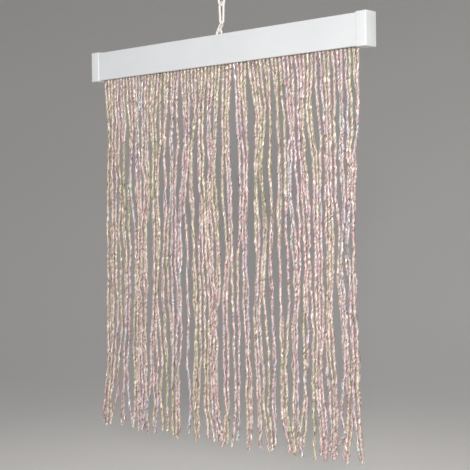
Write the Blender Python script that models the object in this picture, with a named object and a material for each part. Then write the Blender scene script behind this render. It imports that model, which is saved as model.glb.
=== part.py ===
# Short string fly curtain on its rail, with the eye, links and ring that it hangs from.
#
# Metres, +Z up. The origin is the seat of the hanging ring, where a hook bears.
# +X runs along the rail, -Y is the face that looks into the room.

import math
from collections import namedtuple

import bmesh
import bpy
import numpy as np
from mathutils import Matrix, Vector

MM = 0.001
CLEAR = 0.3 * MM            # air between two pieces that bear on each other

# Rail: an extruded channel, open below through a slot for the strands
RAIL_LENGTH = 286.4 * MM
RAIL_HEIGHT = 25.0 * MM
RAIL_DEPTH = 12.0 * MM
RAIL_WALL = 1.2 * MM
RAIL_CORNER = 0.6 * MM
RAIL_SLOT = 5.0 * MM

# End caps: cored blocks, a little proud of the rail, plugged into its ends
CAP_WIDTH = 9.7 * MM
CAP_PROUD = 0.75 * MM
CAP_EDGE = 0.7 * MM
CAP_WALL = 1.4 * MM
PLUG_LENGTH = 7.5 * MM

# Strands and the strip that their roots are fused into
STRAND_COUNT = 71
STRAND_PITCH = 4.03 * MM
STRAND_RADIUS = 1.3 * MM
STRIP_DEPTH = 9.0 * MM
STRIP_HEIGHT = 4.0 * MM
HEM_DEPTH = 338.0 * MM      # mean reach of the strands below the top of the rail
HEM_SPREAD = 4.0 * MM

# Wire of the eye, the small link, the two long links and the hanging ring
EYE_WIRE = 1.7 * MM
EYE_WIDTH = 7.0 * MM
EYE_RISE = 5.6 * MM         # top of the eye above the rail
SMALL_WIRE = 1.3 * MM
SMALL_WIDTH = 5.2 * MM
SMALL_LEAN = math.radians(31.0)
LONG_WIRE = 1.9 * MM
LONG_WIDTH = 7.2 * MM
LONG_LENGTH = 19.5 * MM
LONG_RISE = 9.3 * MM        # foot of the lower long link above the rail
RING_WIRE = 2.0 * MM
RING_INSIDE = 12.0 * MM

WIRE_SIDES = 10
TURN_STEPS = 8              # facets of the half turn at each end of a loop

# Heights of the chain above the top of the rail, worked up from the rail
EYE_TOP = EYE_RISE - EYE_WIRE / 2
LOWER_FOOT = LONG_RISE + LONG_WIRE / 2
LOWER_HEAD = LOWER_FOOT + LONG_LENGTH - LONG_WIRE
UPPER_FOOT = LOWER_HEAD - LONG_WIRE - CLEAR
UPPER_HEAD = UPPER_FOOT + LONG_LENGTH - LONG_WIRE
RING_FOOT = UPPER_HEAD - (LONG_WIRE + RING_WIRE) / 2 - CLEAR
RING_RADIUS = (RING_INSIDE + RING_WIRE) / 2
RING_SEAT = RING_FOOT + RING_RADIUS + RING_INSIDE / 2

# The small link leans back from the middle of the rail to the long links
EYE_Y = RAIL_DEPTH / 2
CHAIN_Y = EYE_Y + (LOWER_FOOT - EYE_TOP) * math.tan(SMALL_LEAN)

# From the rail's own corner (front face, top face) to the origin at the ring
RAIL_FRONT = -CHAIN_Y
RAIL_TOP = -RING_SEAT
MIDDLE_Y = RAIL_FRONT + RAIL_DEPTH / 2

# How the strands hang: neighbours that keep together, from left to right, with
# the place of their middle in mm from the middle of the rail at each depth in mm
# below its top.
Bunch = namedtuple("Bunch", "strands at70 at110 at160 at215 at270 hem")
DEPTHS = (70, 110, 160, 215, 270, 335)
BUNCHES = (
    Bunch(1, -140, -138, -142, -140, -145, -152),
    Bunch(3, -133, -134, -133, -133, -140, -146),
    Bunch(1, -124, -124, -122, -125, -126, -140),
    Bunch(2, -119, -120, -118, -121, -122, -127),
    Bunch(1, -113, -111, -114, -117, -119, -116),
    Bunch(1, -107, -109, -107, -107, -108, -112),
    Bunch(3, -100, -99, -102, -102, -104, -103),
    Bunch(3, -91, -90, -95, -97, -95, -96),
    Bunch(3, -81, -81, -81, -80, -81, -87),
    Bunch(1, -70, -73, -74, -73, -71, -73),
    Bunch(2, -65, -68, -67, -69, -68, -67),
    Bunch(1, -59, -62, -63, -65, -61, -62),
    Bunch(2, -54, -57, -54, -55, -58, -57),
    Bunch(2, -42, -43, -48, -49, -55, -53),
    Bunch(1, -37, -38, -41, -40, -40, -41),
    Bunch(2, -32, -33, -34, -32, -34, -34),
    Bunch(1, -25, -25, -26, -28, -29, -29),
    Bunch(2, -20, -20, -19, -18, -18, -16),
    Bunch(2, -12, -11, -14, -12, -11, -9),
    Bunch(2, -4, -7, -7, -4, -8, -3),
    Bunch(2, 6, 5, 5, 5, 4, 4),
    Bunch(1, 12, 10, 10, 14, 15, 11),
    Bunch(1, 20, 19, 17, 18, 18, 15),
    Bunch(3, 27, 26, 26, 27, 29, 28),
    Bunch(2, 40, 35, 40, 37, 36, 39),
    Bunch(1, 44, 41, 48, 42, 41, 48),
    Bunch(1, 50, 44, 51, 47, 48, 53),
    Bunch(2, 54, 52, 56, 53, 53, 57),
    Bunch(2, 61, 62, 65, 60, 62, 66),
    Bunch(1, 67, 71, 72, 70, 68, 72),
    Bunch(2, 73, 76, 77, 77, 76, 81),
    Bunch(1, 78, 84, 84, 81, 79, 85),
    Bunch(2, 86, 87, 88, 88, 87, 88),
    Bunch(1, 90, 91, 92, 94, 96, 96),
    Bunch(2, 95, 99, 99, 100, 102, 104),
    Bunch(2, 105, 107, 105, 108, 108, 111),
    Bunch(2, 113, 113, 113, 115, 116, 117),
    Bunch(1, 120, 117, 119, 124, 125, 122),
    Bunch(3, 128, 125, 127, 128, 129, 126),
    Bunch(1, 134, 131, 133, 132, 133, 136),
    Bunch(2, 138, 136, 137, 135, 138, 140),
)

# Strands that swing across their neighbours near the hem: which one, counted
# from the left, where its end lies in mm, and how far it comes forward in mm.
Crossing = namedtuple("Crossing", "strand hem forward")
CROSSINGS = (
    Crossing(66, 114, 3.0),
    Crossing(17, -95, 3.0),
    Crossing(54, 79, 3.0),
)

NECK_DEPTHS = (25, 45)      # between these the strands still hang straight from the slot
NECK_SPREAD = 1.01
CROSSING_TOP = 240.0 * MM   # where a crossing strand begins to come forward
CROSSING_EASE = 50.0 * MM
BUNCH_PITCH = 2.8 * MM      # between neighbours inside a bunch
STAGGER = 0.5 * MM          # every other strand hangs this much before or behind the rest
STRAND_GAP = 2 * STRAND_RADIUS + math.sqrt(2) * CLEAR      # square sections, corner to the front
DEPTH_BAND = 3.4 * MM       # how far a strand may hang before or behind the slot
SETTLE_ROUNDS = 600
PARTING_ROUNDS = 60
EASY_PUSH = 0.45            # of the room that two close strands lack, given to each in a round
FULL_PUSH = 0.5
SMOOTHING = 0.04            # of the bend at each level, taken out in a round
RETURN = 0.03               # of the way back to where a strand would hang by itself
LEVELS = tuple(z * MM for z in (27, 45, 70, 90, 110, 135, 160, 187, 215, 242, 270, 292, 314))
SEED = 71


def clear_scene():
    for old in list(bpy.data.objects):
        bpy.data.objects.remove(old, do_unlink=True)


def make_material(name, colour, roughness, metallic=0.0):
    material = bpy.data.materials.new(name)
    material.use_nodes = True
    shader = material.node_tree.nodes["Principled BSDF"]
    shader.inputs["Base Color"].default_value = (*colour, 1.0)
    shader.inputs["Roughness"].default_value = roughness
    shader.inputs["Metallic"].default_value = metallic
    return material


def add_object(name, mesh, material):
    piece = bpy.data.objects.new(name, mesh)
    bpy.context.scene.collection.objects.link(piece)
    if material:
        mesh.materials.append(material)
    return piece


def finish_mesh(name, bm):
    bmesh.ops.recalc_face_normals(bm, faces=bm.faces)
    mesh = bpy.data.meshes.new(name)
    bm.to_mesh(mesh)
    bm.free()
    return mesh


def box_mesh(name, low, high):
    low, high = Vector(low), Vector(high)
    bm = bmesh.new()
    bmesh.ops.create_cube(bm, size=1.0)
    bmesh.ops.scale(bm, vec=high - low, verts=bm.verts)
    bmesh.ops.translate(bm, vec=(low + high) / 2, verts=bm.verts)
    return finish_mesh(name, bm)


def add_cutter(piece, name, mesh, operation="DIFFERENCE"):
    tool = add_object(name, mesh, None)
    tool.hide_render = True
    tool.display_type = "WIRE"
    cut = piece.modifiers.new(name, "BOOLEAN")
    cut.operation = operation
    cut.object = tool
    return tool


def rounded_corner(centre, radius, start, steps=3):
    """Points of a quarter turn, from the start angle in degrees, anticlockwise."""
    angles = (math.radians(start + 90 * i / steps) for i in range(steps + 1))
    return [(centre[0] + radius * math.cos(a), centre[1] + radius * math.sin(a)) for a in angles]


# Rail

def rail_outline():
    """The channel in section, as (y, z) from its front top corner."""
    d, h, t, r = RAIL_DEPTH, RAIL_HEIGHT, RAIL_WALL, RAIL_CORNER
    front_lip = (d - RAIL_SLOT) / 2
    back_lip = d - front_lip
    outside = [(back_lip, -h)]
    outside += rounded_corner((d - r, r - h), r, -90)
    outside += rounded_corner((d - r, -r), r, 0)
    outside += rounded_corner((r, -r), r, 90)
    outside += rounded_corner((r, r - h), r, 180)
    outside += [(front_lip, -h)]
    inside = [(front_lip, t - h), (t, t - h), (t, -t), (d - t, -t), (d - t, t - h), (back_lip, t - h)]
    return outside + inside


def make_rail(material):
    bm = bmesh.new()
    left = [bm.verts.new((-RAIL_LENGTH / 2, RAIL_FRONT + y, RAIL_TOP + z)) for y, z in rail_outline()]
    end = bm.faces.new(left)
    pulled = bmesh.ops.extrude_face_region(bm, geom=[end])
    moved = [g for g in pulled["geom"] if isinstance(g, bmesh.types.BMVert)]
    bmesh.ops.translate(bm, vec=(RAIL_LENGTH, 0, 0), verts=moved)
    rail = add_object("head_rail", finish_mesh("head_rail", bm), material)

    # Two holes in the top wall, for the legs of the eye
    hole = EYE_WIRE / 2 + CLEAR
    for side, reach in (("left", -1), ("right", 1)):
        bm = bmesh.new()
        bmesh.ops.create_cone(bm, cap_ends=True, segments=16, radius1=hole, radius2=hole,
                              depth=4 * RAIL_WALL)
        across = reach * (EYE_WIDTH - EYE_WIRE) / 2
        bmesh.ops.translate(bm, vec=(across, MIDDLE_Y, RAIL_TOP - RAIL_WALL / 2), verts=bm.verts)
        add_cutter(rail, "eye_hole_" + side, finish_mesh("eye_hole_" + side, bm))
    return rail


# End caps

def make_cap(name, side, material):
    """side is -1 on the left and 1 on the right."""
    def span(near, far, y_low, y_high, z_low, z_high):
        xs = sorted((side * near, side * far))
        return (xs[0], RAIL_FRONT + y_low, RAIL_TOP + z_low), (xs[1], RAIL_FRONT + y_high, RAIL_TOP + z_high)

    near = RAIL_LENGTH / 2 + CLEAR
    far = near + CAP_WIDTH
    block = span(near, far, -CAP_PROUD, RAIL_DEPTH + CAP_PROUD, -RAIL_HEIGHT - CAP_PROUD, CAP_PROUD)
    cap = add_object(name, box_mesh(name, *block), material)
    edge = cap.modifiers.new("rounded edges", "BEVEL")
    edge.width = CAP_EDGE
    edge.segments = 3

    # The plug fills the channel above the strip; its core runs on into the block
    inset = RAIL_WALL + CLEAR
    foot = RAIL_WALL + STRIP_HEIGHT + 2 * CLEAR - RAIL_HEIGHT
    tip = near - PLUG_LENGTH
    plug = span(tip, near + CAP_WIDTH / 2, inset, RAIL_DEPTH - inset, foot, -inset)
    add_cutter(cap, name + "_plug", box_mesh(name + "_plug", *plug), "UNION")
    core = span(tip - CAP_WALL, far - CAP_WALL, inset + CAP_WALL, RAIL_DEPTH - inset - CAP_WALL,
                foot + CAP_WALL, -inset - CAP_WALL)
    add_cutter(cap, name + "_core", box_mesh(name + "_core", *core))
    return cap


# Strands

def strand_targets():
    """Where each strand would hang by itself: x at each table depth, from left to right."""
    rows = []
    for bunch in BUNCHES:
        for i in range(bunch.strands):
            aside = (i - (bunch.strands - 1) / 2) * BUNCH_PITCH
            rows.append([middle * MM + aside for middle in bunch[1:]])
    rows = np.array(rows)
    for crossing in CROSSINGS:
        rows[crossing.strand - 1, -1] = crossing.hem * MM
    return rows


def smooth_between(depths, values, depth):
    """Cubic through the values, flat beyond the last one."""
    if depth >= depths[-1]:
        return values[-1]
    k = int(np.searchsorted(depths, depth, side="right")) - 1
    before, after = max(k - 1, 0), min(k + 2, len(depths) - 1)
    width = depths[k + 1] - depths[k]
    t = (depth - depths[k]) / width
    slope_a = (values[k + 1] - values[before]) / (depths[k + 1] - depths[before]) * width
    slope_b = (values[after] - values[k]) / (depths[after] - depths[k]) * width
    return ((2 * t ** 3 - 3 * t ** 2 + 1) * values[k] + (t ** 3 - 2 * t ** 2 + t) * slope_a
            + (3 * t ** 2 - 2 * t ** 3) * values[k + 1] + (t ** 3 - t ** 2) * slope_b)


def push_apart(here, weight):
    """Moves that part every pair of strands closer than the strand gap at one height."""
    gap = here[:, None, :] - here[None, :, :]
    apart = np.hypot(gap[..., 0], gap[..., 1])
    np.fill_diagonal(apart, 1.0)
    short = np.clip(STRAND_GAP - apart, 0.0, None)
    return weight * (gap / apart[..., None] * short[..., None]).sum(axis=1)


def part_strands(place, weight):
    """Parts the strands at each level and half way to the level above; the roots stay."""
    for k in range(1, len(place)):
        place[k] += push_apart(place[k], weight)
        shift = push_apart((place[k] + place[k - 1]) / 2, weight)
        place[k] += shift
        if k > 1:
            place[k - 1] += shift


def strand_paths():
    """(x, y) of every strand at the root, at each level and at its end, from the slot's middle."""
    random = np.random.default_rng(SEED)
    roots = (np.arange(STRAND_COUNT) - (STRAND_COUNT - 1) / 2) * STRAND_PITCH
    ends = HEM_DEPTH + HEM_SPREAD * random.uniform(-1.0, 1.0, STRAND_COUNT)
    depths = np.array(NECK_DEPTHS + DEPTHS) * MM
    table = np.column_stack((roots, roots * NECK_SPREAD, strand_targets()))
    levels = np.array(LEVELS + (HEM_DEPTH + HEM_SPREAD,))
    aim = np.array([[smooth_between(depths, row, z) for row in table] for z in levels])

    forward = np.zeros_like(aim)
    low = np.clip((levels - CROSSING_TOP) / CROSSING_EASE, 0.0, 1.0)
    for crossing in CROSSINGS:
        forward[:, crossing.strand - 1] = -crossing.forward * MM * low
    stagger = np.where(np.arange(STRAND_COUNT) % 2, STAGGER, -STAGGER)
    stagger = stagger + random.normal(0, STAGGER / 2, STRAND_COUNT)
    ramp = np.clip((levels - levels[0]) / CROSSING_EASE, 0.0, 1.0)[:, None]
    place = np.dstack((aim, forward + ramp * stagger))
    start = place.copy()

    for _ in range(SETTLE_ROUNDS):
        part_strands(place, EASY_PUSH)
        place[1:-1] += SMOOTHING * ((place[:-2] + place[2:]) / 2 - place[1:-1])
        place[1:] += RETURN * (start[1:] - place[1:])
        place[1:, :, 1] = np.clip(place[1:, :, 1], -DEPTH_BAND, DEPTH_BAND)
    for _ in range(PARTING_ROUNDS):
        part_strands(place, FULL_PUSH)
    return roots, levels, place, ends


def ring_of(bm, x, y, z):
    """Four corners of a strand in level section."""
    r = STRAND_RADIUS
    return [bm.verts.new((x + dx, y + dy, z)) for dx, dy in ((0, -r), (r, 0), (0, r), (-r, 0))]


def bridge(bm, upper, lower):
    for i in range(4):
        j = (i + 1) % 4
        bm.faces.new((upper[i], upper[j], lower[j], lower[i]))


def make_strands(material):
    roots, levels, place, ends = strand_paths()
    bm = bmesh.new()
    foot = RAIL_TOP - RAIL_HEIGHT + RAIL_WALL + CLEAR
    head = foot + STRIP_HEIGHT
    near, far = MIDDLE_Y - STRIP_DEPTH / 2, MIDDLE_Y + STRIP_DEPTH / 2

    # The strip, one cell for each root
    seams = [(i - STRAND_COUNT / 2) * STRAND_PITCH for i in range(STRAND_COUNT + 1)]
    edges = [[bm.verts.new((x, y, z)) for x in seams]
             for y, z in ((near, foot), (far, foot), (far, head), (near, head))]
    front_low, back_low, back_high, front_high = edges
    for i in range(STRAND_COUNT):
        bm.faces.new((front_low[i], front_low[i + 1], front_high[i + 1], front_high[i]))
        bm.faces.new((front_high[i], front_high[i + 1], back_high[i + 1], back_high[i]))
        bm.faces.new((back_high[i], back_high[i + 1], back_low[i + 1], back_low[i]))
    for i in (0, STRAND_COUNT):
        bm.faces.new((front_low[i], front_high[i], back_high[i], back_low[i]))

    for i in range(STRAND_COUNT):
        root = ring_of(bm, roots[i], MIDDLE_Y, foot)
        cell = (front_low[i], front_low[i + 1], back_low[i + 1], back_low[i])
        for k in range(4):
            bm.faces.new((cell[k], cell[(k + 1) % 4], root[k]))
            bm.faces.new((cell[(k + 1) % 4], root[(k + 1) % 4], root[k]))

        # Down through the slot, along the levels, to its own end
        last = root
        for k in range(len(levels) - 1):
            x, y = place[k, i]
            ring = ring_of(bm, x, MIDDLE_Y + y, RAIL_TOP - levels[k])
            bridge(bm, last, ring)
            last = ring
        part = (ends[i] - levels[-2]) / (levels[-1] - levels[-2])
        x, y = place[-2, i] + part * (place[-1, i] - place[-2, i])
        ring = ring_of(bm, x, MIDDLE_Y + y, RAIL_TOP - ends[i])
        bridge(bm, last, ring)
        bm.faces.new(ring)
    return add_object("strand_fringe", finish_mesh("strand_fringe", bm), material)


# Eye, links and hanging ring

def loop_line(radius, side, straight_steps=3):
    """Middle of a loop's wire: (x, z, outward angle), two half turns and two straight sides."""
    line = []
    for end in (0, 1):
        up = 1 - 2 * end
        skip = 1 if side <= 0 else 0        # a round ring has no straight sides between its halves
        for i in range(skip, TURN_STEPS + 1):
            a = math.pi * (end + i / TURN_STEPS)
            line.append((radius * math.cos(a), up * side + radius * math.sin(a), a))
        if side > 0:
            for i in range(1, straight_steps):
                line.append((-up * radius, up * side * (1 - 2 * i / straight_steps), math.pi * (1 - end)))
    return line


def wire_loop(name, wire, width, length, material):
    """A closed loop of round wire in the XZ plane about its own middle."""
    bm = bmesh.new()
    rings = []
    for x, z, a in loop_line((width - wire) / 2, (length - width) / 2):
        ring = []
        for k in range(WIRE_SIDES):
            b = 2 * math.pi * k / WIRE_SIDES
            out = wire / 2 * math.cos(b)
            ring.append(bm.verts.new((x + out * math.cos(a), wire / 2 * math.sin(b), z + out * math.sin(a))))
        rings.append(ring)
    for here, after in zip(rings, rings[1:] + rings[:1]):
        for k in range(WIRE_SIDES):
            m = (k + 1) % WIRE_SIDES
            bm.faces.new((here[k], here[m], after[m], after[k]))
    piece = add_object(name, finish_mesh(name, bm), material)
    piece.data.shade_smooth()
    return piece


def hang(piece, y, z, turn=0.0, lean=0.0):
    """Places a loop by its middle, above the rail's top; it turns about Z, then leans back."""
    place = Matrix.Translation((0, RAIL_FRONT + y, RAIL_TOP + z))
    piece.matrix_world = place @ Matrix.Rotation(-lean, 4, "X") @ Matrix.Rotation(turn, 4, "Z")


def make_hanging(material):
    quarter = math.pi / 2

    # The legs of the eye go straight down through the top wall and join below it
    below = RAIL_WALL + CLEAR + EYE_WIDTH / 2
    eye = wire_loop("hanging_eye", EYE_WIRE, EYE_WIDTH, EYE_RISE + below, material)
    hang(eye, EYE_Y, (EYE_RISE - below) / 2)

    # The small link leans back, its bends round the eye and the lower long link
    rise = LOWER_FOOT - EYE_TOP
    small = wire_loop("small_link", SMALL_WIRE, SMALL_WIDTH,
                      rise / math.cos(SMALL_LEAN) + SMALL_WIDTH, material)
    hang(small, (EYE_Y + CHAIN_Y) / 2, (EYE_TOP + LOWER_FOOT) / 2, turn=quarter, lean=SMALL_LEAN)

    lower = wire_loop("long_link_lower", LONG_WIRE, LONG_WIDTH, LONG_LENGTH, material)
    hang(lower, CHAIN_Y, (LOWER_FOOT + LOWER_HEAD) / 2)
    upper = wire_loop("long_link_upper", LONG_WIRE, LONG_WIDTH, LONG_LENGTH, material)
    hang(upper, CHAIN_Y, (UPPER_FOOT + UPPER_HEAD) / 2, turn=quarter)
    outside = RING_INSIDE + 2 * RING_WIRE
    ring = wire_loop("hanging_ring", RING_WIRE, outside, outside, material)
    hang(ring, CHAIN_Y, RING_FOOT + RING_RADIUS)


def main():
    clear_scene()
    rail_white = make_material("rail_white", (0.80, 0.83, 0.82), 0.35)
    cap_white = make_material("cap_white", (0.86, 0.88, 0.87), 0.30)
    pearl = make_material("pearl_strand", (0.74, 0.70, 0.66), 0.40)
    wire_white = make_material("wire_white", (0.88, 0.87, 0.84), 0.35)
    make_rail(rail_white)
    make_cap("end_cap_left", -1, cap_white)
    make_cap("end_cap_right", 1, cap_white)
    make_strands(pearl)
    make_hanging(wire_white)


main()
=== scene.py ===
# Looks of a short string fly curtain: twisted pearly strands on a white rail, hung from a ring by links.
# Everything is in metres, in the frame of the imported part: +Z up, -Y the side that faces the room.

import math

import bmesh
import bpy
import numpy as np
from mathutils import Matrix, Vector


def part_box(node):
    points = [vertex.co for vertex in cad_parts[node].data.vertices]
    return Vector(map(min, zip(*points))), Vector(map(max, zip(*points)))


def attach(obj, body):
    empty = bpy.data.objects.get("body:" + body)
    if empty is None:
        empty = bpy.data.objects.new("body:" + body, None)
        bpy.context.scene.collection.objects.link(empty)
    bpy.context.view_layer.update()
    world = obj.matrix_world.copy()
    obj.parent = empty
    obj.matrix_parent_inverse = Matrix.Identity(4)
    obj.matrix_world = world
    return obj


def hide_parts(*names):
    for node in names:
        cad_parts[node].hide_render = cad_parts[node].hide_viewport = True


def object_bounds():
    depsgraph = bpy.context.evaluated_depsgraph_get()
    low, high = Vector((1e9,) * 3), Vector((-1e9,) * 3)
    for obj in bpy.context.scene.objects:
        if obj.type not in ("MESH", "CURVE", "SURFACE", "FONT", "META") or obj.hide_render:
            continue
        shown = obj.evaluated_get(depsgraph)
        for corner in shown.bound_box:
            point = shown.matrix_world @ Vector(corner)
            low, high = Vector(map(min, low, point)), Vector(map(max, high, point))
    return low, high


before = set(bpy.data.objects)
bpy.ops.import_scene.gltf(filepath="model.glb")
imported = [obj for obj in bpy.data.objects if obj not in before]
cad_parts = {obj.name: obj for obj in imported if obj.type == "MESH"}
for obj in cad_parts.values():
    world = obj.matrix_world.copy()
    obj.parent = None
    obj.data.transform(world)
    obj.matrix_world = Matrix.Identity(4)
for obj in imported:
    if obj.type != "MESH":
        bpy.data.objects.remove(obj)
cadLow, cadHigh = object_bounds()
mm = 0.001
weld = 1e-6         # points closer than this, in m, are one


# Shader maths: a socket that adds and multiplies like a number

class Sock:
    def __init__(self, kit, socket):
        self.kit = kit
        self.socket = socket

    def calc(self, operation, first, second):
        return self.kit.node("ShaderNodeMath", {"operation": operation}, {0: first, 1: second})

    def __add__(self, other):
        return self.calc("ADD", self, other)

    def __radd__(self, other):
        return self.calc("ADD", other, self)

    def __sub__(self, other):
        return self.calc("SUBTRACT", self, other)

    def __rsub__(self, other):
        return self.calc("SUBTRACT", other, self)

    def __mul__(self, other):
        return self.calc("MULTIPLY", self, other)

    def __rmul__(self, other):
        return self.calc("MULTIPLY", other, self)

    def ramp(self, low, high):
        # 0 below low, 1 above high, smooth in between
        return self.kit.node("ShaderNodeMapRange", {"interpolation_type": "SMOOTHSTEP"},
                             {"Value": self, "From Min": low, "From Max": high})


class Kit:
    def __init__(self, name, **constants):
        self.material = bpy.data.materials.new(name)
        self.material.use_nodes = True
        self.tree = self.material.node_tree
        self.shader = self.tree.nodes["Principled BSDF"]
        for key, value in constants.items():
            self.shader.inputs[key.replace("_", " ")].default_value = value

    def node(self, kind, settings=None, values=None, out=0):
        made = self.tree.nodes.new(kind)
        for key, value in (settings or {}).items():
            if key == "stops":
                self.setStops(made.color_ramp, value)
            else:
                setattr(made, key, value)
        for key, value in (values or {}).items():
            self.feed(made.inputs[key], value)
        return Sock(self, made.outputs[out])

    def setStops(self, ramp, stops):
        while len(ramp.elements) < len(stops):
            ramp.elements.new(1.0)
        for element, (place, colour) in zip(ramp.elements, stops):
            element.position = place
            element.color = (*colour, 1.0)

    def feed(self, socket, value):
        if isinstance(value, Sock):
            self.tree.links.new(value.socket, socket)
        else:
            socket.default_value = value

    def noise(self, vector, scale, detail, roughness=0.5):
        return self.node("ShaderNodeTexNoise", None,
                         {"Vector": vector, "Scale": scale, "Detail": detail, "Roughness": roughness})

    def stretch(self, vector, factors):
        return self.node("ShaderNodeVectorMath", {"operation": "MULTIPLY"}, {0: vector, 1: factors})

    def turned(self, vector):
        # (0, 0, y) out of (x, y, z)
        depth = self.node("ShaderNodeSeparateXYZ", None, {"Vector": vector}, out=1)
        return self.node("ShaderNodeCombineXYZ", None, {"Z": depth})

    def mix(self, factor, first, second):
        # input sockets 6 and 7 of Mix are its colours, and output 2 the mixed one
        return self.node("ShaderNodeMix", {"data_type": "RGBA"}, {0: factor, 6: first, 7: second}, out=2)

    def bump(self, height, distance, strength):
        normal = self.node("ShaderNodeBump", None,
                           {"Height": height, "Distance": distance, "Strength": strength})
        self.feed(self.shader.inputs["Normal"], normal)

    def place(self):
        return self.node("ShaderNodeTexCoord", out=3)       # Object coordinates

    def use(self, **values):
        for key, value in values.items():
            self.feed(self.shader.inputs[key.replace("_", " ")], value)
        return self.material


# Meshes: small helpers

def addPiece(name, mesh, material):
    piece = bpy.data.objects.new(name, mesh)
    bpy.context.scene.collection.objects.link(piece)
    mesh.materials.clear()
    mesh.materials.append(material)
    return piece


def meshFrom(name, bm):
    bmesh.ops.recalc_face_normals(bm, faces=bm.faces)
    mesh = bpy.data.meshes.new(name)
    bm.to_mesh(mesh)
    bm.free()
    return mesh


def bake(piece):
    # the modifiers' result becomes the piece's own mesh
    bpy.context.view_layer.update()
    seen = piece.evaluated_get(bpy.context.evaluated_depsgraph_get())
    old = piece.data
    piece.data = bpy.data.meshes.new_from_object(seen)
    piece.modifiers.clear()
    piece.data.name = piece.name
    bpy.data.meshes.remove(old)


def finishPiece(piece, slotName, *nodes):
    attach(piece, "root")
    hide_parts(*nodes)


def softenEdges(piece, width, segments):
    edge = piece.modifiers.new("soft edges", "BEVEL")
    edge.width = width
    edge.segments = segments
    edge.limit_method = "ANGLE"
    return edge


def boxMesh(name, low, high):
    bm = bmesh.new()
    bmesh.ops.create_cube(bm, size=1.0)
    low, high = Vector(low), Vector(high)
    bmesh.ops.scale(bm, vec=high - low, verts=bm.verts)
    bmesh.ops.translate(bm, vec=(low + high) / 2, verts=bm.verts)
    return meshFrom(name, bm)


def cutWith(piece, mesh, operation="DIFFERENCE"):
    # the tool has to stay until the piece is baked, and is dropped then
    tool = bpy.data.objects.new(mesh.name, mesh)
    cut = piece.modifiers.new(mesh.name, "BOOLEAN")
    cut.operation = operation
    cut.object = tool
    return tool


def dropTools(tools):
    for tool in tools:
        bpy.data.objects.remove(tool, do_unlink=True)


# Camera: a long lens to the right of the curtain, a little below its rail

camera = {
    "place": (0.647648, -0.706804, -0.207102),
    "yaw": 0.7325275,           # from straight on, to the left
    "pitch": -0.0133903,
    "roll": -0.0123154,
    "lens": 88.0,
    "sensor": 36.0,
    "clip": (0.05, 30.0),
}


def makeCamera(s):
    level = math.cos(s["pitch"])
    ahead = Vector((-math.sin(s["yaw"]) * level, math.cos(s["yaw"]) * level, math.sin(s["pitch"])))
    right = Vector((math.cos(s["yaw"]), math.sin(s["yaw"]), 0.0))
    up = right.cross(ahead)
    rolledRight = right * math.cos(s["roll"]) + up * math.sin(s["roll"])
    rolledUp = up * math.cos(s["roll"]) - right * math.sin(s["roll"])
    data = bpy.data.cameras.new("camera")
    data.lens = s["lens"]
    data.sensor_width = s["sensor"]
    data.clip_start, data.clip_end = s["clip"]
    seen = bpy.data.objects.new("camera", data)
    turn = Matrix((rolledRight, rolledUp, -ahead)).transposed().to_4x4()
    seen.matrix_world = Matrix.Translation(s["place"]) @ turn
    bpy.context.scene.collection.objects.link(seen)
    bpy.context.scene.camera = seen


# Studio: a round pale floor that curves up into its own backdrop, and soft lights

studio = {
    "floorBelow": 0.075,        # under the hem
    "radius": 3.4,
    "curve": 2.3,               # radius of the bend from floor to backdrop
    "curveSteps": 12,
    "wall": 3.0,                # height of the backdrop
    "sides": 96,
    "seam": 1e-5,               # points closer than this are one where the floor closes
    "colour": (0.70, 0.68, 0.66),
    "cloud": 1.03,              # how much lighter its paler clouds are
    "world": (0.80, 0.82, 0.85),
    "worldStrength": 0.24,
}

# name, place, size, spread of the beam in degrees, power in watts, colour, what it aims at
lights = (
    ("key", (1.08, -1.22, -0.05), 0.22, 90.0, 6.4, (1.0, 0.99, 0.975), (0.05, 0.0, -0.18)),
    ("fill", (-1.8, -1.5, 0.45), 1.4, 180.0, 4.6, (0.93, 0.97, 1.0), (0.0, 0.0, -0.20)),
    ("back", (0.6, 1.8, 1.6), 1.6, 180.0, 15.0, (1.0, 1.0, 1.0), (0.0, 0.6, -0.50)),
    ("rear", (-0.45, 1.0, 1.0), 0.5, 50.0, 0.9, (1.0, 0.99, 0.975), (0.0, -0.05, -0.20)),
)


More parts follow.
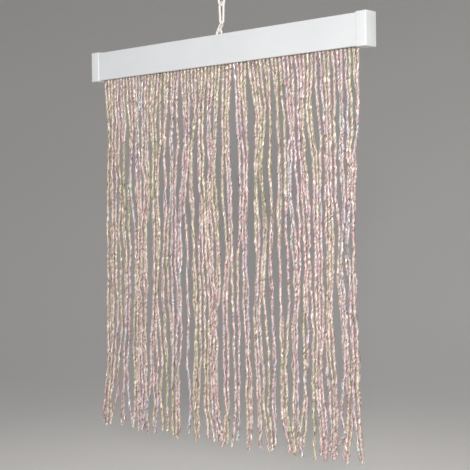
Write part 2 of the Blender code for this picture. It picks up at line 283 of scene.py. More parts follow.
def makeStudio(s):
    bm = bmesh.new()
    floor = cadLow.z - s["floorBelow"]
    outline = [(0.0, floor), (s["radius"] - s["curve"], floor)]
    for i in range(1, s["curveSteps"] + 1):
        a = math.pi / 2 * i / s["curveSteps"]
        outline.append((s["radius"] - s["curve"] + s["curve"] * math.sin(a),
                        floor + s["curve"] - s["curve"] * math.cos(a)))
    outline.append((s["radius"], floor + s["wall"]))
    line = [bm.verts.new((r, 0.0, z)) for r, z in outline]
    for a, b in zip(line, line[1:]):
        bm.edges.new((a, b))
    bmesh.ops.spin(bm, geom=bm.verts[:] + bm.edges[:], axis=(0, 0, 1), cent=(0, 0, 0),
                   angle=2 * math.pi, steps=s["sides"])
    bmesh.ops.remove_doubles(bm, verts=bm.verts, dist=s["seam"])
    kit = Kit("pale_floor", Roughness=0.9, Specular_IOR_Level=0.1)
    shade = kit.noise(kit.place(), scale=0.8, detail=2.0).ramp(0.2, 0.8)
    lighter = [c * s["cloud"] for c in s["colour"]]
    kit.use(Base_Color=kit.mix(shade, (*s["colour"], 1.0), (*lighter, 1.0)))
    mesh = meshFrom("floor", bm)
    mesh.flip_normals()
    mesh.shade_smooth()
    addPiece("floor", mesh, kit.material)

    world = bpy.data.worlds.new("studio")
    world.use_nodes = True
    sky = world.node_tree.nodes["Background"]
    sky.inputs["Color"].default_value = (*s["world"], 1.0)
    sky.inputs["Strength"].default_value = s["worldStrength"]
    bpy.context.scene.world = world

    for name, place, size, spread, power, colour, target in lights:
        data = bpy.data.lights.new(name, "AREA")
        data.shape = "DISK"
        data.size = size
        data.spread = math.radians(spread)
        data.energy = power
        data.color = colour
        lamp = bpy.data.objects.new(name, data)
        lamp.location = place
        lamp.rotation_euler = (Vector(target) - Vector(place)).to_track_quat("-Z", "Y").to_euler()
        lamp.visible_camera = False         # it lights, but its disk shows in no view
        bpy.context.scene.collection.objects.link(lamp)

    view = bpy.context.scene.view_settings
    view.view_transform = "Standard"
    view.look = "None"
    print("scene: studio and camera")


# Materials

def railMaterial(s):
    kit = Kit("rail_white")
    place = kit.place()
    # the draw lines of the extrusion run along X
    lines = kit.noise(kit.stretch(place, s["drawLines"]), scale=1.0, detail=3.0, roughness=0.6)
    cloud = kit.noise(place, scale=28.0, detail=3.0, roughness=0.55)
    dust = kit.noise(place, scale=900.0, detail=2.0, roughness=0.6).ramp(0.62, 0.74)
    tone = kit.mix(cloud.ramp(0.3, 0.7), *s["tones"])
    tone = kit.mix(dust * s["dustShare"], tone, s["dust"])
    kit.bump(lines + 0.25 * cloud, distance=0.00002, strength=0.5)
    return kit.use(Base_Color=tone, Roughness=0.34 + 0.12 * cloud + 0.04 * lines)


def capMaterial(s):
    kit = Kit("cap_white")
    place = kit.place()
    grain = kit.noise(place, scale=2600.0, detail=2.0, roughness=0.6)
    cloud = kit.noise(place, scale=60.0, detail=2.0)
    tone = kit.mix(cloud.ramp(0.3, 0.7), *s["tones"])
    kit.bump(grain + 0.6 * cloud, distance=0.00003, strength=0.5)
    return kit.use(Base_Color=tone, Roughness=0.27 + 0.10 * cloud)


def wireMaterial(s):
    kit = Kit("wire_white")
    place = kit.place()
    cloud = kit.noise(place, scale=180.0, detail=3.0, roughness=0.6)
    chips = kit.noise(place, scale=520.0, detail=2.0).ramp(0.66, 0.72)
    tone = kit.mix(cloud.ramp(0.25, 0.75), *s["tones"])
    tone = kit.mix(chips * s["chipShare"], tone, s["chipped"])
    kit.bump(cloud + 0.3 * chips, distance=0.00005, strength=0.5)
    return kit.use(Base_Color=tone, Roughness=0.26 + 0.16 * cloud)


def stripMaterial(s):
    kit = Kit("strip_clear_white", Roughness=0.5)
    cloud = kit.noise(kit.place(), scale=140.0, detail=2.0)
    kit.bump(cloud, distance=0.0001, strength=0.4)
    return kit.use(Base_Color=kit.mix(cloud, *s["tones"]))


# the strands' pearly film
pearl = {
    "strandKey": 7.31,          # noise from one strand to the next
    "familyKey": 19.7,
    "hueShare": 0.7,            # what the hue, the strand's own family and the patches add to the tint
    "familyShare": 1.2,
    "patchShare": 0.75,
    "tintShift": 0.815,
    "tints": (
        (0.18, (0.46, 0.43, 0.23)), (0.29, (0.75, 0.70, 0.46)), (0.37, (0.96, 0.77, 0.52)),
        (0.44, (0.91, 0.77, 0.71)), (0.51, (0.95, 0.62, 0.58)), (0.57, (0.89, 0.76, 0.73)),
        (0.62, (0.94, 0.44, 0.46)), (0.68, (0.82, 0.62, 0.80)), (0.76, (0.73, 0.73, 0.83)),
        (0.86, (0.72, 0.80, 0.67))),
    "crestShare": 0.25,         # how much of the painted shade follows the valleys between the plies, the rest the spark noise
    # painted shade: a dark colour put into the tone where the plies meet and in flecks
    "shade": (0.08, 0.065, 0.045, 1),
    # painted glints: near-white flecks put into the base colour
    "glint": (0.97, 0.93, 0.89, 1),
    "shadeRamp": (0.43, 0.54),  # of the spark noise, from painted shade to tint
    "glintRamp": (0.54, 0.61),  # and from tint to painted glint
    "sparkBump": 2.4,
}


def strandMaterial(s):
    # "run" holds (strand, way along it in m, 0), "around" a turn of the section, and "crest" is 1 on a ply
    # and 0 in the valley between two; output 1 of Attribute is its vector, and 2 its number
    kit = Kit("pearl_strand")
    run = kit.node("ShaderNodeAttribute", {"attribute_name": "run"}, out=1)
    around = kit.node("ShaderNodeAttribute", {"attribute_name": "around"}, out=1)
    crest = kit.node("ShaderNodeAttribute", {"attribute_name": "crest"}, out=2)

    def alongside(turn, perMetre, strand=s["strandKey"]):
        # noise coordinates that run down a strand and close round it without a seam
        ring = kit.stretch(around, (turn, turn, 0.0))
        way = kit.stretch(run, (strand, perMetre, 0.0))
        whole = kit.node("ShaderNodeVectorMath", {"operation": "ADD"}, {0: ring, 1: way})
        return kit.node("ShaderNodeVectorMath", {"operation": "ADD"}, {0: whole, 1: kit.turned(ring)})

    hue = kit.noise(alongside(0.25, 24.0), scale=1.0, detail=2.0, roughness=0.6)
    family = kit.noise(alongside(0.0, 5.0, s["familyKey"]), scale=1.0, detail=1.0)
    patch = kit.noise(alongside(0.6, 90.0), scale=1.0, detail=1.0)
    spark = kit.noise(alongside(1.9, 400.0), scale=1.0, detail=3.0, roughness=0.72)
    film = kit.noise(alongside(3.0, 1100.0), scale=1.0, detail=2.0, roughness=0.6)

    tinted = hue * s["hueShare"] + family * s["familyShare"] + patch * s["patchShare"] - s["tintShift"]
    tint = kit.node("ShaderNodeValToRGB", {"stops": s["tints"]}, {"Fac": tinted})
    # painted shade: the tone darkens to the shade colour in the valleys between the plies and in flecks of
    # the spark noise
    lit = s["crestShare"] * crest + (1 - s["crestShare"]) * spark.ramp(*s["shadeRamp"])
    tone = kit.mix(lit, s["shade"], tint)
    # painted glints: near-white flecks of the spark noise in the base colour
    tone = kit.mix(spark.ramp(*s["glintRamp"]), tone, s["glint"])
    kit.bump(film + s["sparkBump"] * spark, distance=0.00022, strength=0.8)
    return kit.use(Base_Color=tone, Roughness=0.16 + 0.22 * film, Metallic=0.08 + 0.2 * hue.ramp(0.3, 0.7))


# Rail: the extruded channel, its holes for the eye, and every edge broken

rail = {
    "wall": 1.2 * mm,
    "corner": 0.6 * mm,
    "cornerSteps": 5,
    "slot": 5.0 * mm,
    "holeRadius": 1.15 * mm,
    "holeSides": 32,
    "drill": 4,                 # length of the tool that cuts a hole, in walls
    "legInset": 0.85 * mm,      # from the eye's side to the middle of its leg
    "edge": 0.18 * mm,
    "edgeSteps": 2,
    "edgeAngle": math.radians(35),
    "tones": ((0.690, 0.712, 0.728, 1), (0.720, 0.742, 0.758, 1)),
    "dust": (0.60, 0.585, 0.555, 1),
    "dustShare": 0.18,
    "drawLines": (6.0, 1900.0, 1900.0),         # noise per metre along each axis
}


def arc(y, z, radius, start, steps):
    turns = [math.radians(start + 90 * i / steps) for i in range(steps + 1)]
    return [(y + radius * math.cos(a), z + radius * math.sin(a)) for a in turns]


def makeRail(s, material):
    low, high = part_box("head_rail")
    eyeLow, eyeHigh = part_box("hanging_eye")
    r, t = s["corner"], s["wall"]
    middle = (low.y + high.y) / 2
    front, back = middle - s["slot"] / 2, middle + s["slot"] / 2
    outline = [(back, low.z)]
    for y, z, start in ((high.y - r, low.z + r, -90), (high.y - r, high.z - r, 0),
                        (low.y + r, high.z - r, 90), (low.y + r, low.z + r, 180)):
        outline += arc(y, z, r, start, s["cornerSteps"])
    outline += [(front, low.z), (front, low.z + t), (low.y + t, low.z + t), (low.y + t, high.z - t),
                (high.y - t, high.z - t), (high.y - t, low.z + t), (back, low.z + t)]
    bm = bmesh.new()
    end = bm.faces.new([bm.verts.new((low.x, y, z)) for y, z in outline])
    pulled = bmesh.ops.extrude_face_region(bm, geom=[end])
    moved = [g for g in pulled["geom"] if isinstance(g, bmesh.types.BMVert)]
    bmesh.ops.translate(bm, vec=(high.x - low.x, 0, 0), verts=moved)
    piece = addPiece("rail", meshFrom("rail", bm), material)
    tools = []
    legs = (eyeHigh.x - eyeLow.x) / 2 - s["legInset"]
    for side in (-1, 1):
        bm = bmesh.new()
        bmesh.ops.create_cone(bm, cap_ends=True, segments=s["holeSides"], radius1=s["holeRadius"],
                              radius2=s["holeRadius"], depth=s["drill"] * t)
        bmesh.ops.translate(bm, vec=(side * legs, middle, high.z - t / 2), verts=bm.verts)
        tools.append(cutWith(piece, meshFrom("eye hole", bm)))
    edge = softenEdges(piece, s["edge"], s["edgeSteps"])
    edge.angle_limit = s["edgeAngle"]
    edge.harden_normals = True
    piece.data.shade_smooth()
    bake(piece)
    dropTools(tools)
    finishPiece(piece, "rail", "head_rail")
    print("scene: rail,", len(piece.data.polygons), "faces")


# End caps: moulded blocks, rounded all over, with a hollow plug inside the rail

cap = {
    "edge": 0.75 * mm,
    "edgeSteps": 5,
    "sharp": math.radians(40),
    "wall": 1.4 * mm,
    "plugAir": 0.3 * mm,
    "plugFoot": 5.8 * mm,       # the plug ends this far above the rail's foot, over the strip
    "tones": ((0.722, 0.738, 0.752, 1), (0.752, 0.768, 0.780, 1)),
}


def makeCap(s, side, node, material):
    railLow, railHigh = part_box("head_rail")
    low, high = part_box(node)
    near = side * (railHigh.x + s["plugAir"])
    far = high.x if side > 0 else low.x
    tip = low.x if side > 0 else high.x

    def span(a, b, y0, y1, z0, z1):
        return (min(a, b), y0, z0), (max(a, b), y1, z1)

    name = node.replace("end_", "")
    block = boxMesh(name, *span(near, far, low.y, high.y, low.z, high.z))
    piece = addPiece(name, block, material)
    softenEdges(piece, s["edge"], s["edgeSteps"])
    inset = rail["wall"] + s["plugAir"]
    foot = railLow.z + s["plugFoot"]
    plug = boxMesh("plug", *span(tip, (near + far) / 2, railLow.y + inset, railHigh.y - inset,
                                 foot, railHigh.z - inset))
    w = s["wall"]
    core = boxMesh("core", *span(tip - side * w, far - side * w, railLow.y + inset + w,
                                 railHigh.y - inset - w, foot + w, railHigh.z - inset - w))
    tools = [cutWith(piece, plug, "UNION"), cutWith(piece, core)]
    piece.data.shade_smooth()
    bake(piece)
    dropTools(tools)
    piece.data.set_sharp_from_angle(angle=s["sharp"])
    finishPiece(piece, "cap", node)
    print("scene:", piece.name + ",", len(piece.data.polygons), "faces")


# Strands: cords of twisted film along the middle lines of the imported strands

strands = {
    "groups": 5,
    "radius": 1.48 * mm,
    "plies": 3,
    "sectionPoints": 12,
    "groove": 0.22,             # depth of the valley between two plies, of the radius
    "turnLength": 10.0 * mm,
    "startTurn": 2.4,           # twist from one strand's start to the next one's, in radians
    "wander": 14.0,             # how far the twist runs ahead and behind, in radians
    "wanderNoise": {"perMetre": 110.0, "turns": 0.0, "key": 7.7},
    "ruffle": 0.7 * mm,         # full swing of the film's unevenness
    "ruffleNoise": {"perMetre": 360.0, "turns": 1.1, "key": 3.1},
    "thickness": (0.89, 0.22),  # least, and how much a noise adds to it, of the radius
    "thicknessKey": 1.37,
    "endOpens": (0.988, 1.16),  # from this share of its length a strand opens, to this much of the radius
    "step": 0.72 * mm,
    "packedSides": 4,           # of a packed strand's tube
    "cutBelow": 0.1 * mm,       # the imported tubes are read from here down, under the strip's seat
    "rootRise": 2.5 * mm,       # and a strand starts this far above that level
    "level": 5.0 * mm,          # the strands are parted from each other at every such height
    "still": 6 * mm,            # below its start a strand hangs straight
    "freeOver": 40 * mm,        # and over this length it comes free
    "waves": ((70 * mm, 0.6 * mm), (30 * mm, 0.4 * mm), (14 * mm, 0.18 * mm)),      # length and swing
    "waveLengths": (0.8, 1.3),  # least and most that is drawn, of the above
    "waveSwings": (0.5, 1.2),
    "bends": ((210 * mm, 1.4 * mm, 23), (120 * mm, 0.9 * mm, 9)),       # length, swing, strands to a wave
    "depth": 1.5 * mm,          # how far a strand may hang in front of the row or behind it
    "gather": 0.42,             # of half the difference between a strand's two gaps
    "widest": 7.0 * mm,         # and no gap counts for more than this
    "reach": 2.4 * mm,          # nor is a strand drawn aside from more
    "gatherFull": 60 * mm,      # below the strands' start
    "hemGather": 0.9,           # more of it at the hem
    "early": 8 * mm,            # the bunches of the upper part form this much sooner
    "earlyOver": 15 * mm,       # which comes in over this length
    "earlyFades": (1.6, 70 * mm),       # and fades over the second, to nothing at so many of it
    "late": 1.7,                # and the ends swing aside later, by this power
    "hemLength": 70 * mm,       # above the lowest end
    # strand from the left, then in mm how far its end swings aside and forward, and over what length
    "swings": ((32, 4.5, 0, 40), (33, 3.2, 0, 40), (34, 3, 0, 40), (35, 4.4, 0, 42), (36, 3, 0, 42),
               (38, -3, 2, 40), (39, -2.5, 0, 40), (43, -2, 0, 30), (50, 6, 0, 46), (51, 5, 0, 46),
               (52, 6.5, 0, 48), (54, 3, 0, 40), (56, -7, 3, 40), (57, -5, 1.5, 40), (61, -3, 0, 40),
               (62, -2.5, 0, 36), (69, 8.3, 3, 36), (71, 4.2, 0, 26), (22, -1.5, 0, 34)),
    "swingMost": 1.1,           # below its end the swing still grows, up to this
    "forwardSooner": 2,         # and the part of it that leads forward grows so much faster
    # strand, how far it bows aside, how high above its end, and half the length of the bow, all in mm
    "bows": ((66, 8, 19, 12), (19, -2.5, 30, 14), (47, -2, 34, 16), (65, 1.8, 72, 40), (66, 1.7, 78, 36),
             (67, 0.9, 75, 36)),
    # strand and how much shorter its end is cut, in mm
    "trims": {69: 5.3, 71: 4.2},
    "endClear": 0.3,            # no level nearer to the end than this, of a level's height
    "air": 2.75 * mm,           # between the middles of two neighbours, at least
    "push": 0.45,               # how much of what is missing is made good in a round
    "widestGap": 8.8 * mm,      # and at most, above the hem
    "hemGap": 1.5,              # more of it at the hem
    "pull": 0.25,               # how much of what is too wide is closed in a round
    "rounds": 60,
    "seed": 17,
}


def strandLines(s):
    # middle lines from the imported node: below the strip each strand is a tube of level rings
    bm = bmesh.new()
    bm.from_mesh(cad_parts["strand_fringe"].data)
    bmesh.ops.remove_doubles(bm, verts=bm.verts, dist=weld)
    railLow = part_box("head_rail")[0]
    belowStrip = railLow.z + rail["wall"] + s["cutBelow"]
    bmesh.ops.delete(bm, geom=[v for v in bm.verts if v.co.z > belowStrip], context="VERTS")
    sides = s["packedSides"]
    seen, lines = set(), []
    for start in bm.verts:
        if start in seen:
            continue
        island, queue = [], [start]
        seen.add(start)
        while queue:
            vert = queue.pop()
            island.append(vert.co.copy())
            for edge in vert.link_edges:
                other = edge.other_vert(vert)
                if other not in seen:
                    seen.add(other)
                    queue.append(other)
        island.sort(key=lambda co: -co.z)
        line = [sum(island[k:k + sides], Vector()) / sides for k in range(0, len(island), sides)]
        root = Vector((line[0].x, line[0].y, belowStrip + s["rootRise"]))
        lines.append([root] + line)
    bm.free()
    lines.sort(key=lambda line: line[0].x)
    return lines


def loosen(lines, s):
    # each strand gets its own small waves, then close neighbours part again at every level
    random = np.random.default_rng(s["seed"])
    top = lines[0][0].z
    foot = min(line[-1].z for line in lines)
    levels = np.arange(top, foot - s["level"], -s["level"])
    points = [np.array(line) for line in lines]
    down = top - levels
    fades, fadeLength = s["earlyFades"]
    grown = np.clip(down / s["earlyOver"], 0.0, 1.0)
    sooner = s["early"] * grown * np.clip(fades - down / fadeLength, 0.0, 1.0)
    low = np.clip((foot + s["hemLength"] - levels) / s["hemLength"], 0.0, 1.0)
    later = s["hemLength"] * (low - low ** s["late"])
    looked = sooner - later - levels
    flat = np.array([[np.interp(looked, -p[:, 2], p[:, axis]) for axis in (0, 1)] for p in points])
    free = np.clip((down - s["still"]) / s["freeOver"], 0.0, 1.0)
    moved = flat.copy()
    for length, swing in s["waves"]:
        for i in range(len(lines)):
            stretch = length * random.uniform(*s["waveLengths"])
            phase = random.uniform(0.0, 2 * math.pi, 2)
            size = swing * random.uniform(*s["waveSwings"], 2)
            for axis in (0, 1):
                moved[i, axis] += free * size[axis] * np.sin(2 * math.pi * down / stretch + phase[axis])
    # bends that neighbours share, so that bunches lean and part in long lenses above the hem
    number = np.arange(len(lines))[:, None]
    for length, swing, across in s["bends"]:
        moved[:, 0] += free * (1 - low) * swing * np.sin(2 * math.pi * (down / length + number / across))
    moved[:, 1] += free * s["depth"] * random.uniform(-1.0, 1.0, (len(lines), 1))
    # neighbours that keep together close up, so that the gaps between the bunches open
    between = np.clip(np.diff(flat[:, 0], axis=0), 0.0, s["widest"])
    edge = np.full((1, len(levels)), s["widest"])
    pull = (np.vstack((edge, between)) - np.vstack((between, edge))) / 2
    share = s["gather"] * np.clip(down / s["gatherFull"], 0.0, 1.0) * (1 + s["hemGather"] * low)
    moved[:, 0] += share * np.clip(pull, -s["reach"], s["reach"])
    for strand, aside, ahead, length in s["swings"]:
        rise = (levels - lines[strand - 1][-1].z) / (length * mm)
        ease = np.clip(1 - rise, 0.0, s["swingMost"]) ** 2
        moved[strand - 1, 0] += aside * mm * ease
        moved[strand - 1, 1] -= ahead * mm * np.clip(s["forwardSooner"] * ease, 0.0, 1.0)
    for strand, aside, height, half in s["bows"]:
        rise = (levels - lines[strand - 1][-1].z) / mm
        moved[strand - 1, 0] += aside * mm * np.exp(-((rise - height) / half) ** 2)
    widestGap = s["widestGap"] * (1 + s["hemGap"] * low)
    for _ in range(s["rounds"]):
        gap = moved[:, None] - moved[None]
        apart = np.hypot(gap[:, :, 0], gap[:, :, 1]) + np.eye(len(lines))[:, :, None]
        short = np.clip(s["air"] - apart, 0.0, None) * free
        moved += s["push"] * (gap / apart[:, :, None] * short[:, :, None]).sum(axis=1)
        wide = s["pull"] * np.clip(np.diff(moved[:, 0], axis=0) - widestGap, 0.0, None)
        moved[:-1, 0] += wide
        moved[1:, 0] -= wide
    loose = []
    for i, line in enumerate(lines):
        end = line[-1].z + s["trims"].get(i + 1, 0.0) * mm
        kept = levels > end + s["endClear"] * s["level"]
        loose.append([Vector(co) for co in zip(moved[i, 0, kept], moved[i, 1, kept], levels[kept])])
        x, y = [np.interp(-end, -levels, moved[i, axis]) for axis in (0, 1)]
        loose[-1].append(Vector((x, y, end)))
    return loose


def lineMesh(name, lines, first):
    mesh = bpy.data.meshes.new(name)
    points, edges, numbers = [], [], []
    for i, line in enumerate(lines):
        edges += [(len(points) + k, len(points) + k + 1) for k in range(len(line) - 1)]
        points += line
        numbers += [float(first + i)] * len(line)
    mesh.from_pydata(points, edges, [])
    mesh.attributes.new("strand", "FLOAT", "POINT").data.foreach_set("value", numbers)
    return mesh


class Tree:
    def __init__(self, name):
        self.tree = bpy.data.node_groups.new(name, "GeometryNodeTree")
        self.tree.interface.new_socket("Geometry", in_out="OUTPUT", socket_type="NodeSocketGeometry")
        self.tree.interface.new_socket("Geometry", in_out="INPUT", socket_type="NodeSocketGeometry")
        self.given = self.tree.nodes.new("NodeGroupInput")
        self.keys = {}

    def input(self, name, kind="NodeSocketFloat"):
        made = self.tree.interface.new_socket(name, in_out="INPUT", socket_type=kind)
        self.keys[name] = made.identifier
        return self.given.outputs[name]

    def node(self, kind, settings=None, values=None, out=0):
        made = self.tree.nodes.new(kind)
        for key, value in (settings or {}).items():
            setattr(made, key, value)
        for key, value in (values or {}).items():
            socket = made.inputs[key]
            if isinstance(value, bpy.types.NodeSocket):
                self.tree.links.new(value, socket)
            else:
                socket.default_value = value
        return made.outputs[out]

    def math(self, operation, *terms):
        return self.node("ShaderNodeMath", {"operation": operation}, dict(enumerate(terms)))

    def scale(self, vector, factor):
        return self.node("ShaderNodeVectorMath", {"operation": "SCALE"}, {0: vector, "Scale": factor})

    def part(self, vector, axis):
        return self.node("ShaderNodeSeparateXYZ", None, {"Vector": vector}, out=axis)

    def stored(self, name, kind="FLOAT_VECTOR"):
        return self.node("GeometryNodeInputNamedAttribute", {"data_type": kind}, {"Name": name})

    def store(self, geometry, name, value, kind="FLOAT_VECTOR"):
        return self.node("GeometryNodeStoreNamedAttribute", {"data_type": kind, "domain": "POINT"},
                         {"Geometry": geometry, "Name": name, "Value": value})

    def close(self, geometry, material):
        real = self.node("GeometryNodeRealizeInstances", None, {"Geometry": geometry})
        painted = self.node("GeometryNodeSetMaterial", None, {"Geometry": real, "Material": material})
        result = self.tree.nodes.new("NodeGroupOutput")
        self.tree.links.new(painted, result.inputs[0])

    def drive(self, piece, **values):
        run = piece.modifiers.new(self.tree.name, "NODES")
        run.node_group = self.tree
        for name, value in values.items():
            run[self.keys[name.replace("_", " ")]] = value


def cordTree(s):
    t = Tree("twisted cord")
    step = t.input("Step")
    radius = t.input("Radius")
    plies = t.input("Plies")
    points = t.input("Section Points", "NodeSocketInt")
    groove = t.input("Groove")
    turnLength = t.input("Turn Length")
    ruffle = t.input("Ruffle")
    material = t.input("Material", "NodeSocketMaterial")

    def cloud(perMetre, turns, key):
        # noise from 0 to 1 that runs down a strand and, with turns, closes round it
        ring = t.scale(t.stored("around"), turns)
        run = t.stored("run")
        where = t.node("ShaderNodeCombineXYZ", None, {
            "X": t.math("MULTIPLY_ADD", t.part(run, 0), key, t.part(ring, 0)),
            "Y": t.math("MULTIPLY", t.part(run, 1), perMetre),
            "Z": t.part(ring, 1)})
        return t.node("ShaderNodeTexNoise", None, {"Vector": where, "Scale": 1.0, "Detail": 1.0})

    line = t.node("GeometryNodeMeshToCurve", None, {"Mesh": t.given.outputs["Geometry"]})
    line = t.node("GeometryNodeCurveSplineType", {"spline_type": "CATMULL_ROM"}, {"Curve": line})
    line = t.node("GeometryNodeResampleCurve", {"mode": "LENGTH"}, {"Curve": line, "Length": step})
    strand = t.stored("strand", "FLOAT")
    along = t.node("GeometryNodeSplineParameter", out=1)
    share = t.node("GeometryNodeSplineParameter", out=0)

    # each strand a little thicker or thinner, and opening at its cut end
    own = t.node("ShaderNodeTexNoise", {"noise_dimensions": "1D"},
                 {"W": t.math("MULTIPLY", strand, s["thicknessKey"]), "Scale": 1.0})
    least, added = s["thickness"]
    thick = t.math("MULTIPLY_ADD", own, added, least)
    openFrom, openTo = s["endOpens"]
    opened = t.node("ShaderNodeMapRange", {"interpolation_type": "SMOOTHSTEP"},
                    {"Value": share, "From Min": openFrom, "From Max": 1.0, "To Min": 1.0, "To Max": openTo})
    line = t.node("GeometryNodeSetCurveRadius", None,
                  {"Curve": line, "Radius": t.math("MULTIPLY", thick, opened)})

    # the twist, even but for a slow wander
    twist = t.math("MULTIPLY", t.math("DIVIDE", along, turnLength), 2 * math.pi)
    twist = t.math("ADD", twist, t.math("MULTIPLY", strand, s["startTurn"]))
    line = t.store(line, "run", t.node("ShaderNodeCombineXYZ", None, {"X": strand, "Y": along}))
    twist = t.math("MULTIPLY_ADD", cloud(**s["wanderNoise"]), s["wander"], twist)
    line = t.node("GeometryNodeSetCurveTilt", None, {"Curve": line, "Tilt": twist})

    # the section: as many lobes as plies, the crest 1 on a lobe and 0 in a valley
    index = t.node("GeometryNodeInputIndex")
    angle = t.math("DIVIDE", t.math("MULTIPLY", index, 2 * math.pi), points)
    lobe = t.math("COSINE", t.math("MULTIPLY", angle, plies))
    crest = t.math("MULTIPLY_ADD", lobe, 0.5, 0.5)
    reach = t.math("SUBTRACT", 1.0, t.math("MULTIPLY", groove, t.math("SUBTRACT", 1.0, crest)))
    turned = t.node("ShaderNodeCombineXYZ", None, {"X": t.math("COSINE", angle), "Y": t.math("SINE", angle)})
    ring = t.node("GeometryNodeCurvePrimitiveCircle", {"mode": "RADIUS"},
                  {"Resolution": points, "Radius": radius})
    ring = t.store(ring, "crest", crest, "FLOAT")
    ring = t.store(ring, "around", turned)
    ring = t.node("GeometryNodeSetPosition", None,
                  {"Geometry": ring, "Position": t.scale(t.node("GeometryNodeInputPosition"), reach)})

    cord = t.node("GeometryNodeCurveToMesh", None, {"Curve": line, "Profile Curve": ring, "Fill Caps": True})
    uneven = t.math("MULTIPLY", t.math("SUBTRACT", cloud(**s["ruffleNoise"]), 0.5), ruffle)
    outward = t.node("GeometryNodeInputNormal")
    cord = t.node("GeometryNodeSetPosition", None, {"Geometry": cord, "Offset": t.scale(outward, uneven)})
    cord = t.node("GeometryNodeSetShadeSmooth", None, {"Geometry": cord, "Shade Smooth": True})
    t.close(cord, material)
    return t


def makeStrands(s, material):
    lines = loosen(strandLines(s), s)
    tree = cordTree(s)
    share = math.ceil(len(lines) / s["groups"])
    for g in range(s["groups"]):
        part = lines[g * share:(g + 1) * share]
        name = "strands_" + str(g + 1)
        piece = addPiece(name, lineMesh(name, part, g * share), material)
        tree.drive(piece, Step=s["step"], Radius=s["radius"], Plies=float(s["plies"]),
                   Section_Points=s["sectionPoints"], Groove=s["groove"], Turn_Length=s["turnLength"],
                   Ruffle=s["ruffle"], Material=material)
        bake(piece)
        finishPiece(piece, "strands", "strand_fringe")
        print("scene:", name, len(part), "strands,", len(piece.data.polygons), "faces")


# Strip: the moulded bar that holds the roots, with a rib beside each strand

strip = {
    "strands": 71,
    "pitch": 4.03 * mm,
    "halfWidth": 4.5 * mm,
    "height": 4.0 * mm,
    "air": 0.3 * mm,            # above the rail's inner floor
    "rib": 0.35 * mm,
    "tones": ((0.66, 0.64, 0.60, 1), (0.74, 0.72, 0.69, 1)),
}


def makeStrip(s, material):
    railLow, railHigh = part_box("head_rail")
    middle = (railLow.y + railHigh.y) / 2
    foot = railLow.z + rail["wall"] + s["air"]
    count = s["strands"]
    length = s["pitch"] * count
    bm = bmesh.new()
    rings = []
    for i in range(2 * count + 1):
        x = -length / 2 + length * i / (2 * count)
        d = s["halfWidth"] - (s["rib"] if i % 2 else 0.0)
        rings.append([bm.verts.new((x, middle + y, z)) for y, z in
                      ((-d, foot), (d, foot), (d, foot + s["height"]), (-d, foot + s["height"]))])
    for a, b in zip(rings, rings[1:]):
        for k in range(len(a)):
            m = (k + 1) % len(a)
            bm.faces.new((a[k], a[m], b[m], b[k]))
    bm.faces.new(rings[0])
    bm.faces.new(rings[-1])
    piece = addPiece("root_strip", meshFrom("root_strip", bm), material)
    finishPiece(piece, "strands", "strand_fringe")
    print("scene: root_strip,", len(piece.data.polygons), "faces")


# Eye, links and ring: moulded wire in closed loops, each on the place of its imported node

wire = {
    "sides": 20,
    "turnSteps": 24,
    "straightSteps": 16,
    "tones": ((0.78, 0.75, 0.70, 1), (0.84, 0.815, 0.77, 1)),
    "chipped": (0.52, 0.50, 0.46, 1),
    "chipShare": 0.45,
}

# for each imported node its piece, the wire, the lean back, whether it is turned by a quarter, the turn
# about its own length at the foot and at the head, and how far its inside is filled at shares of its height
links = (
    {"node": "hanging_eye", "name": "wire_eye", "wire": 1.8 * mm, "lean": 0.0, "quarter": False,
     "spin": (0.0, 0.0), "fill": ((0.55, 0.0), (0.68, 0.35), (1.0, 0.35))},
    {"node": "small_link", "name": "wire_link_small", "wire": 1.35 * mm, "lean": math.radians(31),
     "quarter": True, "spin": (math.radians(18), math.radians(18)),
     "fill": ((0.3, 0.0), (0.4, 0.8), (0.6, 0.8), (0.7, 0.0))},
    {"node": "long_link_lower", "name": "wire_link_lower", "wire": 1.9 * mm, "lean": 0.0, "quarter": False,
     "spin": (math.radians(-20), math.radians(-6)),
     "fill": ((0.2, 0.0), (0.3, 0.6), (0.45, 0.3), (0.6, 0.0))},
    {"node": "long_link_upper", "name": "wire_link_upper", "wire": 1.9 * mm, "lean": 0.0, "quarter": True,
     "spin": (math.radians(-16), 0.0), "fill": ((0.25, 0.0), (0.4, 0.3), (0.6, 0.3), (0.75, 0.0))},
    {"node": "hanging_ring", "name": "wire_ring", "wire": 2.0 * mm, "lean": 0.0, "quarter": False,
     "spin": (0.0, 0.0), "fill": ((0.0, 0.0), (1.0, 0.0))},
)


def loopLine(radius, side):
    # round the loop in its own plane: across, up, and the angle that looks outwards
    line = []
    for end in (0, 1):
        up = 1 - 2 * end
        for i in range(wire["turnSteps"]):
            a = math.pi * (end + i / wire["turnSteps"])
            line.append((radius * math.cos(a), up * side + radius * math.sin(a), a))
        if side > 0:
            for i in range(wire["straightSteps"]):
                fall = 1 - 2 * i / wire["straightSteps"]
                line.append((-up * radius, up * side * fall, math.pi * (1 + end)))
    return line


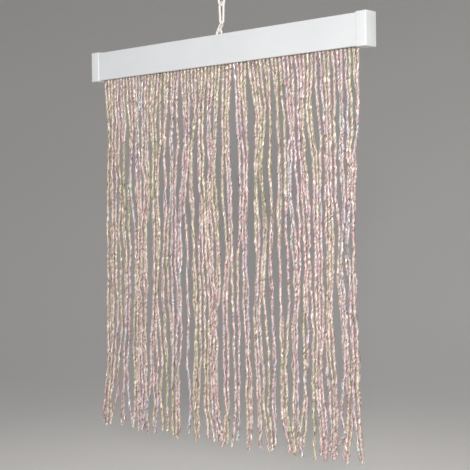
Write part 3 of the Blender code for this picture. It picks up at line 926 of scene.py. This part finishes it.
def makeLoop(s, link, material):
    # the loop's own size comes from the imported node, turned back upright
    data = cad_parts[link["node"]].data
    points = np.array([v.co for v in data.vertices], float)
    middle = (points.max(0) + points.min(0)) / 2
    upright = (points - middle) @ np.array(Matrix.Rotation(link["lean"], 3, "X")).T
    length = np.ptp(upright[:, 2])
    width = np.ptp(upright[:, 1 if link["quarter"] else 0])
    half = link["wire"] / 2
    spinFoot, spinHead = link["spin"]
    heights, fills = zip(*link["fill"])
    bm = bmesh.new()
    rings = []
    for x, z, a in loopLine(width / 2 - half, max((length - width) / 2, 0.0)):
        share = z / length + 0.5
        fill = np.interp(share, heights, fills) * mm
        spin = Matrix.Rotation(spinFoot + (spinHead - spinFoot) * share, 3, "Z")
        ring = []
        for k in range(s["sides"]):
            b = 2 * math.pi * k / s["sides"]
            out = half * math.cos(b) + fill * min(math.cos(b), 0.0)
            point = Vector((x + out * math.cos(a), half * math.sin(b), z + out * math.sin(a)))
            ring.append(bm.verts.new(spin @ point))
        rings.append(ring)
    for here, after in zip(rings, rings[1:] + rings[:1]):
        for k in range(s["sides"]):
            m = (k + 1) % s["sides"]
            bm.faces.new((here[k], here[m], after[m], after[k]))
    place = Matrix.Translation(middle) @ Matrix.Rotation(-link["lean"], 4, "X")
    if link["quarter"]:
        place = place @ Matrix.Rotation(math.pi / 2, 4, "Z")
    bmesh.ops.transform(bm, matrix=place, verts=bm.verts)
    bmesh.ops.remove_doubles(bm, verts=bm.verts, dist=weld)
    piece = addPiece(link["name"], meshFrom(link["name"], bm), material)
    piece.data.shade_smooth()
    finishPiece(piece, "wire", link["node"])


makeCamera(camera)
makeStudio(studio)
makeRail(rail, railMaterial(rail))
capWhite = capMaterial(cap)
makeCap(cap, -1, "end_cap_left", capWhite)
makeCap(cap, 1, "end_cap_right", capWhite)
makeStrands(strands, strandMaterial(pearl))
makeStrip(strip, stripMaterial(strip))
wireWhite = wireMaterial(wire)
for link in links:
    makeLoop(wire, link, wireWhite)
print("scene: chain,", len(links), "loops")
